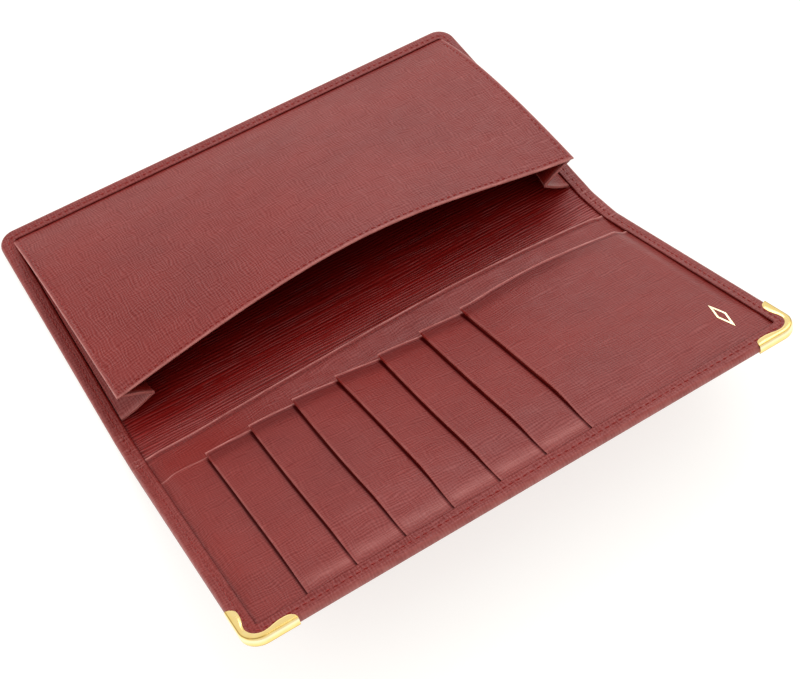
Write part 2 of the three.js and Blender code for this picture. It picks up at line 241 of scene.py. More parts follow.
class Shape:
    """Collects grids of points, welds what coincides and makes a mesh object."""

    def __init__(self):
        self.points = []
        self.flat = []
        self.wear_and_painted_light = []
        self.quads = []
        self.count = 0

    def grid(self, points, flat, wear_and_painted_light=None):
        rows, cols = points.shape[:2]
        index = self.count + np.arange(rows * cols).reshape(rows, cols)
        quads = [index[:-1, :-1], index[1:, :-1], index[1:, 1:], index[:-1, 1:]]
        self.quads.append(np.stack(quads, axis=-1).reshape(-1, 4))
        self.points.append(points.reshape(-1, 3))
        self.flat.append(flat.reshape(-1, 2))
        self.wear_and_painted_light.append(np.zeros(rows * cols) if wear_and_painted_light is None else np.asarray(wear_and_painted_light).reshape(-1))
        self.count += rows * cols

    def build(self, name, crease_deg=52, fill_holes=False):
        points = np.concatenate(self.points)
        flat = np.concatenate(self.flat) / UV_SPAN + 0.5
        wear_and_painted_light = np.concatenate(self.wear_and_painted_light)
        quads = np.concatenate(self.quads)
        keys = np.round(points * 1e7).astype(np.int64)
        _, first, back = np.unique(keys, axis=0, return_index=True, return_inverse=True)
        back = back.reshape(-1)
        faces = []
        corners = []
        for quad in quads.tolist():
            kept = {}
            for corner in quad:
                kept.setdefault(int(back[corner]), corner)
            if len(kept) > 2:
                faces.append(list(kept))
                corners.extend(kept.values())
        mesh = bpy.data.meshes.new(name)
        mesh.from_pydata(points[first].tolist(), [], faces)
        layer = mesh.uv_layers.new(name="flat")
        layer.data.foreach_set("uv", flat[corners].astype(np.float32).reshape(-1))
        worn_and_painted_light = mesh.attributes.new("wear_and_painted_light", "FLOAT", "POINT")
        worn_and_painted_light.data.foreach_set("value", wear_and_painted_light[first].astype(np.float32))
        tidy_mesh(mesh, crease_deg, fill_holes)
        return link(name, mesh)


def tidy_mesh(mesh, crease_deg, fill_holes=False):
    bm = bmesh.new()
    bm.from_mesh(mesh)
    bmesh.ops.delete(bm, geom=[v for v in bm.verts if not v.link_faces], context="VERTS")
    if fill_holes:
        rim = [e for e in bm.edges if e.is_boundary]
        filled = bmesh.ops.holes_fill(bm, edges=rim)
        bmesh.ops.triangulate(bm, faces=filled["faces"])
    bmesh.ops.recalc_face_normals(bm, faces=bm.faces)
    limit = math.radians(crease_deg)
    for edge in bm.edges:
        edge.smooth = len(edge.link_faces) == 2 and edge.calc_face_angle(0) < limit
    for face in bm.faces:
        face.smooth = True
    bm.to_mesh(mesh)
    bm.free()


def stops(start, end, spacing, fine=(0, 0.08, 0.25, 0.5, 0.9, 1.5), both=True, extra=()):
    """Grid lines from start to end: close together at the edges, evenly spaced between."""
    count = max(2, int(round((end - start) / spacing)) + 1)
    lines = list(np.linspace(start, end, count))
    lines += [start + f for f in fine]
    if both:
        lines += [end - f for f in fine]
    lines += [e for e in extra if start < e < end]
    lines = sorted(set(round(v, 3) for v in lines if start <= v <= end))
    kept = [lines[0]]
    for value in lines[1:]:
        if value - kept[-1] > 0.04:
            kept.append(value)
    kept[-1] = end
    return np.array(kept)


def sheet_object(
    name, xs, ss, top, thickness, surface, rounding=0.5, crease=0.0, crease_at=2.0, worn_and_painted_light=(1.0, 1.0), extra_wear_and_painted_light=None
):
    """A closed sheet with rounded edges; top and thickness are functions of the flat position.

    worn_and_painted_light is how rubbed the edges along s and along x are; the pale rub also paints their
    highlight.
    extra_wear_and_painted_light adds more rubbing and painted highlight, or painted shade where it is
    negative.
    """
    x, s = np.meshgrid(xs, ss, indexing="ij")
    edge_x = np.minimum(x - xs[0], xs[-1] - x)
    edge_s = np.minimum(s - ss[0], ss[-1] - s)
    edge = np.minimum(edge_x, edge_s)
    swell = np.sqrt(1 - (1 - np.clip(edge / rounding, 0, 1)) ** 2)
    thick = thickness(x, s)
    middle = top(x, s) - thick / 2
    dip = crease * bell((edge - crease_at) / 0.3)
    # Edges rubbed pale, which also paints their highlight; a negative extra paints shade.
    wear_and_painted_light = np.maximum(worn_and_painted_light[0] * bell(edge_x / RUB_AND_HIGHLIGHT_WIDTH), worn_and_painted_light[1] * bell(edge_s / RUB_AND_HIGHLIGHT_WIDTH))
    if extra_wear_and_painted_light is not None:
        wear_and_painted_light = wear_and_painted_light + extra_wear_and_painted_light(x, s)
    flat = pairs(x, s)
    shape = Shape()
    shape.grid(surface(x, s, middle + thick / 2 * swell - dip), flat, wear_and_painted_light)
    shape.grid(surface(x, s, middle - thick / 2 * swell), flat, wear_and_painted_light)
    return shape.build(name)


# ---- Outer leather, turned over its own edge ----


def edge_ring(inset, depth, radius, start, sides, ends, arc_steps=8):
    """x and q of one line round a half, inset from its outer edge; sides and ends are shares 0..1."""
    hold = max(radius, inset)
    turn = max(radius - inset, 0.0)
    top_q = depth - hold
    side_q = start + (top_q - start) * sides
    side_x = np.full_like(side_q, HALF_LENGTH - inset)
    half = HALF_LENGTH - hold
    end_x = -half + 2 * half * ends
    end_q = np.full_like(end_x, depth - inset)
    angles = np.linspace(0, math.pi / 2, arc_steps + 1)[1:-1]
    arc_x = half + turn * np.cos(angles)
    arc_q = top_q + turn * np.sin(angles)
    xs = [-side_x, -arc_x, end_x, arc_x[::-1], side_x]
    qs = [side_q, arc_q, end_q, arc_q[::-1], side_q[::-1]]
    return np.concatenate(xs), np.concatenate(qs)


def far_lift(x, q):
    """How far the far half's border is pushed up at its inner edge, by the panel's seam."""
    return 0.5 * smooth((q - (FAR_DEPTH - 9)) / 4)


def near_lift(x, q):
    """The same on the near half, by the slip pocket, the cards' panel and each strip's edge."""
    over_slip = 0.12 * smooth((q - LINE_A + 0.8) / 1.6)
    over_cards = 0.28 * smooth((q - LINE_B + 0.6) / 1.2)
    at_end = smooth((q - (NEAR_DEPTH - 8)) / 3)
    over_strips = smooth((x + 77) / 5) * (1 - smooth((x - 36) / 24))
    ridges = sum(bell((x - slot_x - 0.6) / 1.1) for slot_x in SLOT_X)
    return over_slip + over_cards + at_end * (0.12 * over_strips + 0.14 * ridges)


EDGE_ROUND = 1.25
RAW_EDGE_T = 0.55  # the turned leather is pared thin at its raw edge
RAW_EDGE_DIP = 0.16
COVER_INTERIOR = 7.0  # inside this inset the cover is a plain double skin
TOP_INSETS = [
    BORDER, 5.22, 5.0, 4.5, 3.9, 3.5, 3.25, 3.0, 2.75, 2.5, 2.0, 1.5, 1.1, 0.75, 0.45, 0.22, 0.07, 0.0,
]
UNDER_INSETS = [0.07, 0.22, 0.45, 0.75, 1.1, 1.5, 3.0, COVER_INTERIOR]
INNER_RINGS = [  # (inset, height) round the space between the cover and the turned border
    (COVER_INTERIOR, COVER_T), (1.7, COVER_T), (1.2, 1.15), (1.2, 1.75), (1.7, 2.0), (3.4, 2.05),
]
PUCKER_RISE = 0.12
PUCKER_PITCH = 1.7


def edge_drop(inset):
    """How far the rounding of the edge takes the surface down; 0 where the rounding ends."""
    return EDGE_ROUND * (1 - math.sqrt(1 - (1 - min(inset / EDGE_ROUND, 1)) ** 2))


def pucker(inset, x, q):
    """The border's leather gathers into small cross wrinkles where it runs round the spine's folds."""
    drift = 0.25 * np.sin(1.3 * q + x)
    wrinkles = np.sin(2 * math.pi * (q + drift) / PUCKER_PITCH)
    uneven = 0.55 + 0.45 * np.sin(0.9 * q + 2 * np.sign(x))
    return wrinkles * uneven * smooth((4 - q) / 5) * bell((inset - 2.9) / 1.7)


def border_top(inset, x, q, lift):
    nominal = mix(SPINE_EDGE_H, EDGE_H, smooth((q + 3) / 6))
    height = nominal + lift(x, q) * smooth((inset - 3.1) / 1.9)
    groove = 0.09 * bell((inset - THREAD_D) / 0.28)
    raw = RAW_EDGE_DIP * bell((inset - BORDER) / 0.12)
    return height - groove - raw + PUCKER_RISE * pucker(inset, x, q)


def outer_leather(name, depth, radius, to_s, lift, side_lines, end_lines):
    """The cover of one half and its spine half, turned over the edge onto the inside."""
    shape = Shape()
    lines = []

    def ring(inset, height_of):
        x, q = edge_ring(inset, depth, radius, -MID_SPINE, side_lines, end_lines)
        lines.append((x, q, height_of(x, q), inset))

    for inset in TOP_INSETS:
        ring(inset, lambda x, q, i=inset: border_top(i, x, q, lift) - edge_drop(i))
    for inset in UNDER_INSETS:
        ring(inset, level(edge_drop(inset)))
    outer_count = len(lines)
    for inset, height in INNER_RINGS:
        if height > 1.2:  # the upper ones follow the border's height
            ring(inset, lambda x, q, h=height: h * (border_top(3.9, x, q, lift) / EDGE_H))
        else:
            ring(inset, level(height))
    ring(BORDER, lambda x, q: border_top(BORDER, x, q, lift) + RAW_EDGE_DIP - RAW_EDGE_T)
    lines.append(lines[0])

    def add(rows):
        x, q, h = (np.stack([row[k] for row in rows]) for k in range(3))
        inset = np.array([row[3] for row in rows])[:, None]
        # Rubbing and painted light round the border: the outer edge is rubbed pale, which also paints its
        # highlight; the border's raw inner edge gets a painted shadow line; the wrinkles' crests are paler,
        # rubbing and painted highlight.
        wear_and_painted_light = 0.35 * bell(inset / 0.8) - 0.75 * bell((inset - BORDER) / 0.28)
        wear_and_painted_light = wear_and_painted_light + 0.5 * np.maximum(pucker(inset, x, q), 0)
        shape.grid(place(x, to_s(q), h), pairs(x, to_s(q)), wear_and_painted_light)

    add(lines[:outer_count])
    add(lines[outer_count:])
    q = -MID_SPINE + (depth - COVER_INTERIOR + MID_SPINE) * side_lines
    half = HALF_LENGTH - COVER_INTERIOR
    x, q = np.meshgrid(-half + 2 * half * end_lines, q, indexing="ij")
    for height in (0.0, COVER_T):
        shape.grid(place(x, to_s(q), 0 * x + height), pairs(x, to_s(q)))
    return shape.build(name, crease_deg=48, fill_holes=True)


def shares(start, end, spacing, extra=()):
    lines = stops(start, end, spacing, fine=(0,), extra=extra)
    return (lines - start) / (end - start)


# Shares of the way along an end and along a side; both are closer together where the border is uneven.
END_LINES = shares(-88.0, 88.0, 2.2, [x + d for x in SLOT_X for d in (-0.6, 0.2, 0.9, 1.7)])
PUCKER_LINES = list(np.arange(-9.1, 4.2, 0.4))
FAR_SIDE_LINES = shares(-MID_SPINE, 89.0, 1.9, PUCKER_LINES)
NEAR_SIDE_LINES = shares(-MID_SPINE, 84.3, 1.6, [10.0, 10.6, 11.2] + PUCKER_LINES)
FAR = (FAR_DEPTH, FAR_CORNER_R, far_s, far_lift)
NEAR = (NEAR_DEPTH, NEAR_CORNER_R, near_s, near_lift)

# ---- Stitching ----


def stitch_row(name, path, normals, pitch=2.4, length=1.8, width=0.42, rise=0.24, slant=0.12):
    """Single stitches along a path, each a small capsule that dips into the leather at its ends."""
    steps = np.linalg.norm(np.diff(path, axis=0), axis=1)
    way = np.concatenate([[0], np.cumsum(steps)])
    total = way[-1]
    count = int(total / (pitch * MM))
    shape = Shape()
    t, a = np.meshgrid(np.linspace(-1, 1, 7), np.linspace(0, 2 * math.pi, 7), indexing="ij")
    girth = np.sqrt(np.clip(1 - t**4, 0, 1))
    lift = rise * (1 - t**2) - rise * 0.4

    def at(where, line):
        return np.array([np.interp(where, way, line[:, k]) for k in range(3)])

    for i in range(count):
        centre_way = (i + 0.5) / count * total
        up = at(centre_way, normals)
        forward = unit(at(centre_way + pitch * MM / 2, path) - at(centre_way - pitch * MM / 2, path))
        up = unit(up - forward * (up @ forward))
        forward = unit(forward + np.cross(forward, up) * (slant + rng.uniform(-0.03, 0.03)))
        side = np.cross(forward, up)
        half = length * rng.uniform(0.94, 1.05) / 2
        offset = (
            forward * (t * half)[..., None]
            + side * (width / 2 * girth * np.cos(a))[..., None]
            + up * (width / 2 * girth * np.sin(a) + lift - 0.04)[..., None]
        )
        shape.grid(at(centre_way, path) + offset * MM, pairs(t * half + centre_way / MM, a))
    return shape.build(name, crease_deg=80)


def border_stitches(name, depth, radius, to_s, lift, q_from, q_to=None, x_sign=0):
    """The border's seam from q_from on, or only its part up to q_to on one side."""
    side_lines = np.linspace(0, 1, 60)
    x, q = edge_ring(THREAD_D, depth, radius, q_from, side_lines, np.linspace(0, 1, 120), arc_steps=12)
    if q_to is not None:
        keep = (q <= q_to) & (x * x_sign > 0)
        x = x[keep]
        q = q[keep]
    height = border_top(THREAD_D, x, q, lift)
    path = place(x, to_s(q), height)
    normals = place(x, to_s(q), height + 1) - path
    return stitch_row(name, path, normals)


# ---- Card panel and slots ----

STACK_FLOOR = 1.9  # height of the lining that the stack lies on
SIDE_SQUEEZE = 0.3  # share of the stack's height that is left under the border, at the sides and at the end
END_SQUEEZE = 0.17
TUCK = 3.6  # every layer goes this near to the outer edge, under the border
INNER_X = HALF_LENGTH - BORDER
INNER_Q = NEAR_DEPTH - BORDER
TUCK_X = HALF_LENGTH - TUCK
TUCK_Q = NEAR_DEPTH - TUCK


def stack(h, x, q):
    """Presses a nominal height down where the stack of layers goes under the border."""
    side = mix(1.0, SIDE_SQUEEZE, smooth((np.abs(x) - (INNER_X - 5.5)) / 5.0))
    slope = 0.16 * smooth((q - 15) / 60)
    end = mix(1.0 - slope, END_SQUEEZE, smooth((q - (INNER_Q - 24)) / 23.5) ** 1.3)
    return STACK_FLOOR + (h - STACK_FLOOR) * np.minimum(side, end)


def rim_rise(s):
    """The folded edge stands a little above the stack behind it."""
    return 0.25 * bell((s - near_s(LINE_B)) / 1.3)


SLOT_GAP = 0.8  # how far each slot stands open at its edge
SLOT_REST = 0.08  # the gap between strips elsewhere
EDGE_T = 1.1  # a strip's thickness where its edge is folded over, and elsewhere
STRIP_T = 0.75
LAST_LEVEL = 4.3  # height of the widest strip away from its edge


def slot_thickness(index, x):
    return mix(EDGE_T, STRIP_T, smooth((x - SLOT_X[index] - 6) / 2))


def slot_top(index, x):
    """Nominal height of a strip's top; past the next slot it runs under the next strip."""
    last = len(SLOT_X) - 1
    start = SLOT_X[index]
    if index == last:
        return LAST_LEVEL + (SLOT_TOPS[last] - LAST_LEVEL) * (1 - smooth((x - start) / 42.0)) ** 0.9
    following = SLOT_X[index + 1]

    def next_underside(x):
        return slot_top(index + 1, x) - slot_thickness(index + 1, x)

    under = next_underside(np.maximum(x, following))
    gap = SLOT_REST + SLOT_GAP * bell((x - following) / 3.5)
    end_level = next_underside(np.array(following)) - SLOT_GAP - SLOT_REST
    share = np.clip((x - start) / (following - start), 0, 1)
    open_part = mix(SLOT_TOPS[index], end_level, share) + 0.12 * np.sin(math.pi * share)
    return np.where(x < following, open_part, under - gap)


def wave(x, q, seed, size=0.1):
    """A slight, slow unevenness."""
    a = math.sin(seed * 3.7) * 2
    b = math.cos(seed * 5.1) * 2
    swell = np.sin(x / 9.0 + a + q / 31.0) * np.cos(q / 17.0 + b)
    return size * swell + size * 0.6 * np.sin(q / 8.5 + a * 2 - x / 21)


def near_place(x, s, h):
    return place(x, s, stack(h, x, s - SPINE))


def slot_bow(index, q):
    """How far a slot's edge strays from a straight line."""
    along = np.clip((q - LINE_B) / (INNER_Q - LINE_B), 0, 1)
    return (0.55 * math.sin(index * 2.3 + 1) - 0.35) * np.sin(math.pi * along)


def slot_place(index):
    start = SLOT_X[index]

    def surface(x, s, h):
        q = s - SPINE
        near_edge = 1 - smooth((x - start - 2) / 10)
        return place(x + slot_bow(index, q) * near_edge, s, stack(h, x, q))

    return surface


def foil_surface(x, q, lift):
    index = len(SLOT_X) - 1
    h = slot_top(index, x) + wave(x, q, index + 1)
    return place(x, near_s(q), stack(h, x, q) + lift)


# ---- Materials ----


class Nodes:
    """A node material, with short ways to add nodes to it."""

    def __init__(self, name):
        self.material = bpy.data.materials.new(name)
        self.material.use_nodes = True
        self.tree = self.material.node_tree
        self.tree.nodes.clear()
        self.shader = self.tree.nodes.new("ShaderNodeBsdfPrincipled")
        output = self.tree.nodes.new("ShaderNodeOutputMaterial")
        self.join(self.shader.outputs[0], output.inputs["Surface"])

    def node(self, kind, values=(), **settings):
        node = self.tree.nodes.new(kind)
        for key, value in settings.items():
            setattr(node, key, value)
        for key, value in dict(values).items():
            node.inputs[key].default_value = value
        return node

    def join(self, source, target):
        self.tree.links.new(source, target)

    def drive(self, socket, source):
        self.join(source, self.shader.inputs[socket])

    def noise(self, vector, scale, detail=2.0, rough=0.5):
        mapping = self.node("ShaderNodeMapping", {"Scale": scale})
        node = self.node("ShaderNodeTexNoise", {"Scale": 1.0, "Detail": detail, "Roughness": rough})
        self.join(vector, mapping.inputs["Vector"])
        self.join(mapping.outputs[0], node.inputs["Vector"])
        return node.outputs["Fac"]

    def bands(self, vector, direction, scale, distortion):
        values = {"Scale": scale, "Distortion": distortion}
        node = self.node("ShaderNodeTexWave", values, wave_type="BANDS", bands_direction=direction)
        self.join(vector, node.inputs["Vector"])
        return node.outputs["Fac"]

    def math(self, kind, a, b=0.0, clamp=False):
        node = self.node("ShaderNodeMath", operation=kind, use_clamp=clamp)
        for socket, value in ((node.inputs[0], a), (node.inputs[1], b)):
            if isinstance(value, (int, float)):
                socket.default_value = value
            else:
                self.join(value, socket)
        return node.outputs[0]

    def times(self, a, b, clamp=False):
        return self.math("MULTIPLY", a, b, clamp)

    def plus(self, a, b, clamp=False):
        return self.math("ADD", a, b, clamp)

    def spread(self, value, low, high, to_low=0.0, to_high=1.0):
        values = {"From Min": low, "From Max": high, "To Min": to_low, "To Max": to_high}
        node = self.node("ShaderNodeMapRange", values)
        self.join(value, node.inputs["Value"])
        return node.outputs[0]

    def mix(self, factor, first, second):
        node = self.node("ShaderNodeMix", data_type="RGBA")
        self.join(factor, node.inputs["Factor"])
        for socket, value in ((node.inputs[6], first), (node.inputs[7], second)):
            if isinstance(value, tuple):
                socket.default_value = (*value, 1)
            else:
                self.join(value, socket)
        return node.outputs[2]

    def wear_and_painted_light(self):
        return self.node("ShaderNodeAttribute", attribute_name="wear_and_painted_light").outputs["Fac"]

    def flat(self):
        return self.node("ShaderNodeUVMap", uv_map="flat").outputs[0]

    def position(self):
        return self.node("ShaderNodeTexCoord").outputs["Object"]

    def bump(self, height, strength, distance):
        node = self.node("ShaderNodeBump", {"Strength": strength, "Distance": distance})
        self.join(height, node.inputs["Height"])
        self.drive("Normal", node.outputs[0])

    def set(self, **values):
        for key, value in values.items():
            self.shader.inputs[key.replace("_", " ")].default_value = value


def leather(
    name, base, dark, rib_share=0.6, cross_share=0.2, pitch=1.05, run=9.0,
    relief_mm=0.16, gloss=0.42, coat=0.08, shine=(0.18, 0.68), lumps=0.0, waver=2.4,
):
    """Boarded leather: wavering ridges along x and, more or less strongly, along y."""
    n = Nodes(name)
    flat = n.flat()
    parts = n.node("ShaderNodeSeparateXYZ")
    n.join(flat, parts.inputs[0])

    def spots(size_x, size_s, detail=2.0):
        return n.noise(flat, (UV_SPAN / size_x, UV_SPAN / size_s, 1), detail)

    def ridges(across, size, strength_size):
        drift = n.times(spots(*size), waver)
        turns = n.plus(n.times(across, UV_SPAN / pitch), drift)
        strength = n.spread(spots(*strength_size), 0.35, 0.6, 0.35, 1.0)
        return n.times(n.math("SINE", n.times(turns, 2 * math.pi)), strength)

    ribs = ridges(parts.outputs[1], (run, 4.5), (6.0, 2.5))
    crossing = ridges(parts.outputs[0], (4.5, run), (2.5, 6.0))
    pores = n.spread(spots(0.45, 0.45), 0.3, 0.7, -1.0, 1.0)
    relief = n.plus(n.times(ribs, rib_share), n.times(crossing, cross_share))
    relief = n.plus(relief, n.times(pores, 0.9 - rib_share - cross_share))
    if lumps:
        relief = n.plus(relief, n.times(n.spread(spots(1.5, 1.5), 0.3, 0.7, -1, 1), lumps))
    n.bump(relief, 1.0, relief_mm * MM / 2)
    clouds = n.spread(spots(34.0, 22.0, 3.0), 0.3, 0.7)
    patches = spots(7.0, 5.0, 3.0)
    ridge_tone = n.spread(relief, -0.75, 0.75)
    tone = n.plus(n.times(ridge_tone, 0.75), n.times(clouds, 0.25), clamp=True)
    # Where the wear attribute is positive the edges are rubbed pale and glossier, which also paints their
    # highlight; where it is negative painted shade darkens the colour and takes away most of the specular.
    worn_and_painted_light = n.wear_and_painted_light()
    rub_and_painted_highlight = n.times(worn_and_painted_light, n.spread(patches, 0.35, 0.65, 0.55, 1.0), clamp=True)
    shade = n.times(worn_and_painted_light, -1.0, clamp=True)
    colour = n.mix(rub_and_painted_highlight, n.mix(tone, dark, base), RUB_AND_HIGHLIGHT_COLOUR)
    n.drive("Base Color", n.mix(shade, colour, PAINTED_SHADE_COLOUR))
    rough = n.spread(patches, 0.3, 0.7, gloss - 0.05, gloss + 0.06)
    n.drive("Roughness", n.math("SUBTRACT", rough, n.times(rub_and_painted_highlight, 0.14)))
    lit = n.math("SUBTRACT", 1.0, n.times(shade, 0.9))
    n.drive("Specular IOR Level", n.times(n.spread(ridge_tone, 0.0, 1.0, *shine), lit))
    n.set(Coat_Weight=coat, Coat_Roughness=0.35)
    return n.material


def thread_material(name, base):
    n = Nodes(name)
    flat = n.flat()
    n.bump(n.bands(flat, "DIAGONAL", UV_SPAN * 0.5, 0.6), 0.5, 0.00008)
    fleck = n.noise(flat, (UV_SPAN / 1.5, UV_SPAN / 1.5, 1))
    shade = tuple(c * 0.62 for c in base)
    n.drive("Base Color", n.mix(n.spread(fleck, 0.3, 0.7), shade, base))
    n.set(Roughness=0.6, Sheen_Weight=0.1, Specular_IOR_Level=0.4)
    return n.material


def brass_material(name, base, deep, rough):
    n = Nodes(name)
    where = n.position()
    tarnish = n.noise(where, (420, 420, 420), 4.0)
    lines = n.noise(where, (BRASS_GRAIN, BRASS_GRAIN, BRASS_GRAIN * 0.1), 1.0)
    colour = n.mix(n.spread(tarnish, 0.35, 0.7), base, deep)
    # The wear attribute paints light here: paler as a painted highlight where positive, darker as painted
    # shade where negative.
    colour = n.mix(n.times(n.wear_and_painted_light(), 1.0, clamp=True), colour, BRASS_HIGHLIGHT)
    n.drive("Base Color", n.mix(n.times(n.wear_and_painted_light(), -1.0, clamp=True), colour, BRASS_SHADE))
    n.drive("Roughness", n.spread(tarnish, 0.3, 0.7, rough, rough + 0.06))
    n.bump(lines, 0.05, 0.00002)
    n.set(Metallic=1.0)
    return n.material


def woven_material(name, base, shade, pitch):
    n = Nodes(name)
    weave = n.math("MAXIMUM", *(n.bands(n.position(), axis, 0.3 / (pitch * MM), 0.4) for axis in ("X", "Y")))
    n.drive("Base Color", n.mix(weave, shade, base))
    n.bump(weave, 0.4, 0.0001)
    n.set(Roughness=0.9, Sheen_Weight=0.2)
    return n.material


def board_material(name):
    n = Nodes(name)
    fibres = n.noise(n.position(), (900, 300, 300), 5.0, 0.7)
    n.drive("Base Color", n.mix(fibres, (0.30, 0.22, 0.13), (0.47, 0.38, 0.25)))
    n.bump(fibres, 0.3, 0.0001)
    n.set(Roughness=0.92)
    return n.material


# Painted light: the pale colour paints the highlight on rubbed edges, and the deep one paints shade in gaps,
# creases and pockets.
RUB_AND_HIGHLIGHT_COLOUR = (0.56, 0.21, 0.19)  # where the wear_and_painted_light attribute is positive: rubbed edges, pale enough to paint their highlight
PAINTED_SHADE_COLOUR = (0.050, 0.0008, 0.0010)  # painted shade, where that attribute is negative
RED = (0.262, 0.0140, 0.0080)
RED_DARK = (0.128, 0.0028, 0.0018)
COVER_LEATHER = leather("cover_leather", RED, RED_DARK, 0.3, 0.3, relief_mm=0.17, lumps=0.25)
PANEL_LEATHER = leather("panel_leather", RED, RED_DARK, 0.38, 0.38, waver=3.4)
CARD_LEATHER = leather(
    "card_leather", RED, RED_DARK, 0.46, 0.24,
    pitch=0.95, run=12.0, relief_mm=0.13, shine=(0.22, 0.58), waver=3.6,
)
LINING_LEATHER = leather(
    "lining_leather", (0.290, 0.0090, 0.0070), (0.085, 0.0008, 0.0008), 0.8, 0.02,
    pitch=1.1, run=42.0, relief_mm=0.2, gloss=0.34, coat=0.03, shine=(0.05, 0.55), waver=2.6,
)
BRASS_GRAIN = 2500.0  # fine drawn lines, per metre
# Painted light on the brass: the pale colour paints highlights and the dark one paints shade.
BRASS_HIGHLIGHT = (1.0, 0.93, 0.70)
BRASS_SHADE = (0.38, 0.22, 0.05)
THREAD = thread_material("thread", (0.34, 0.024, 0.019))
BRASS = brass_material("polished_brass", (1.0, 0.77, 0.29), (0.97, 0.69, 0.22), rough=0.08)
FOIL = brass_material("gold_foil", (1.0, 0.9, 0.62), (0.95, 0.8, 0.45), rough=0.25)
FABRIC = woven_material("backing_fabric", (0.06, 0.016, 0.017), (0.03, 0.008, 0.008), 0.4)
BOARD = board_material("stiffening_board")


def finish_piece(obj, material, slot, *nodes):
    obj.data.materials.clear()
    obj.data.materials.append(material)
    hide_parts(*nodes)


def point(x, s, h):
    """One point in the row frame, in metres."""
    return tuple(float(v) for v in place(np.array(x), np.array(s), np.array(h)))


# Where a piece starts and stops bending about each fold.
FOLD_1 = (point(0.0, -BEND_REACH, FOLD_LINE_H), point(0.0, BEND_REACH, FOLD_LINE_H))
FOLD_2 = (point(0.0, SPINE - BEND_REACH, FOLD_LINE_H), point(0.0, SPINE + BEND_REACH, FOLD_LINE_H))


def bend(obj, part):
    """Bakes a piece's transform into its mesh; the far and near sides are treated the same."""
    if part == "far":
        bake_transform(obj)
    else:
        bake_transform(obj)


# ---- Outer leather and its stitching ----

cover_far = outer_leather("outer_leather_far", *FAR, FAR_SIDE_LINES, END_LINES)
finish_piece(
    cover_far, COVER_LEATHER, "burgundy_leather", "outer_cover_far", "turned_border_far", "outer_cover_spine"
)
bend(cover_far, "far")

cover_near = outer_leather("outer_leather_near", *NEAR, NEAR_SIDE_LINES, END_LINES)
finish_piece(
    cover_near, COVER_LEATHER, "burgundy_leather",
    "outer_cover_near", "turned_border_near", "turned_border_spine_left", "turned_border_spine_right",
)
bend(cover_near, "near")

SEAM_JOIN = 8.0  # the halves' stitching hands over to the spine's this far from the fold lines
HALVES = (("far", FAR), ("near", NEAR))
for part, half in HALVES:
    row = border_stitches(f"stitching_{part}", *half, SEAM_JOIN)
    finish_piece(row, THREAD, "thread", f"border_stitching_{part}")
    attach(row, f"{part}_half")
for side, sign in (("left", -1), ("right", 1)):
    for part, half in HALVES:
        row = border_stitches(f"stitching_spine_{part}_{side}", *half, -MID_SPINE, SEAM_JOIN, sign)
        finish_piece(row, THREAD, "thread", f"border_stitching_spine_{side}")
        bend(row, part)

# ---- Linings ----

LINING_TUCK = 3.3
LINING_X = HALF_LENGTH - LINING_TUCK
LINING_T = 0.3
RIB_SPACING = 0.29  # of the mesh's lines where the lining is ribbed


def lining_top(x, s):
    far = mix(LINING_TOP, SPINE_LINING_TOP, smooth((s + 1) / 7))
    drift = 0.45 * np.sin(x / 23.0 + s / 9.0) + 0.25 * np.sin(x / 9.0 + s / 2.7)
    ribs = 0.03 * np.sin(2 * math.pi * (s / 1.15 + drift)) * (1 + 0.7 * np.sin(x / 13.0 + s * 1.9))
    folds = 0.07 * np.sin(s / 1.7 + 1.4 * np.sin(x / 37.0)) * bell((s - 3) / 8.0)
    strength = smooth((s + 34) / 30) * smooth((LINING_X - 3 - np.abs(x)) / 4)
    return far - 0.1 + (ribs + folds) * strength


# Painted light: painted shade darkens the lining deeper into the pocket, and a slight painted highlight
# lightens it towards the slip pocket.
def lining_painted_light(x, s):
    return 0.1 * smooth((s - 1) / 9) - 0.75 * smooth((4 - s) / 30)


lining_x = stops(-LINING_X, LINING_X, 2.0)
rib_s = list(np.arange(-30, MID_SPINE, RIB_SPACING))
lining_s = stops(-(FAR_DEPTH - LINING_TUCK), MID_SPINE, 2.5, both=False, extra=rib_s)
spine_s = stops(MID_SPINE, SPINE + 3.5, RIB_SPACING)
for name, lines_s, part in (("pocket_lining", lining_s, "far"), ("spine_lining", spine_s, "near")):
    lining = sheet_object(
        f"{name}_sheet", lining_x, lines_s, lining_top, level(LINING_T), place,
        rounding=0.05, worn_and_painted_light=(0.0, 0.0), extra_wear_and_painted_light=lining_painted_light,
    )
    finish_piece(lining, LINING_LEATHER, "lining_leather", name)
    bend(lining, part)

# ---- Slip pocket, card panel, card slots ----

by_border = [side * v for side in (-1, 1) for v in (84.2, 85.5, 86.8, 88, 89.2)]
by_first_slot = [SLOT_X[0] + 0.3 * i for i in range(-8, 4)]
tuck_x = stops(-TUCK_X, TUCK_X, 2.4, extra=by_border + by_first_slot)

SLIP_GAPE = 4.1  # how far the slip pocket stands open at its highest
SLIP_GAPE_X = 20.0  # where that is, and how far it falls off to the left and to the right
SLIP_GAPE_LEFT = 92
SLIP_GAPE_RIGHT = 70


def slip_top(x, s):
    q = s - SPINE
    edge = bell((q - LINE_A - 0.5) / 1.1)
    rise = 1 - np.clip((SLIP_GAPE_X - x) / SLIP_GAPE_LEFT, 0, 1) ** 1.5
    fall = 1 - np.clip((x - SLIP_GAPE_X) / SLIP_GAPE_RIGHT, 0, 1) ** 2
    gape = SLIP_GAPE * rise * fall * (1 - smooth((q - LINE_A) / (LINE_B - LINE_A)))
    return 2.5 + 0.4 * edge + gape + wave(x, q, 3, 0.04)


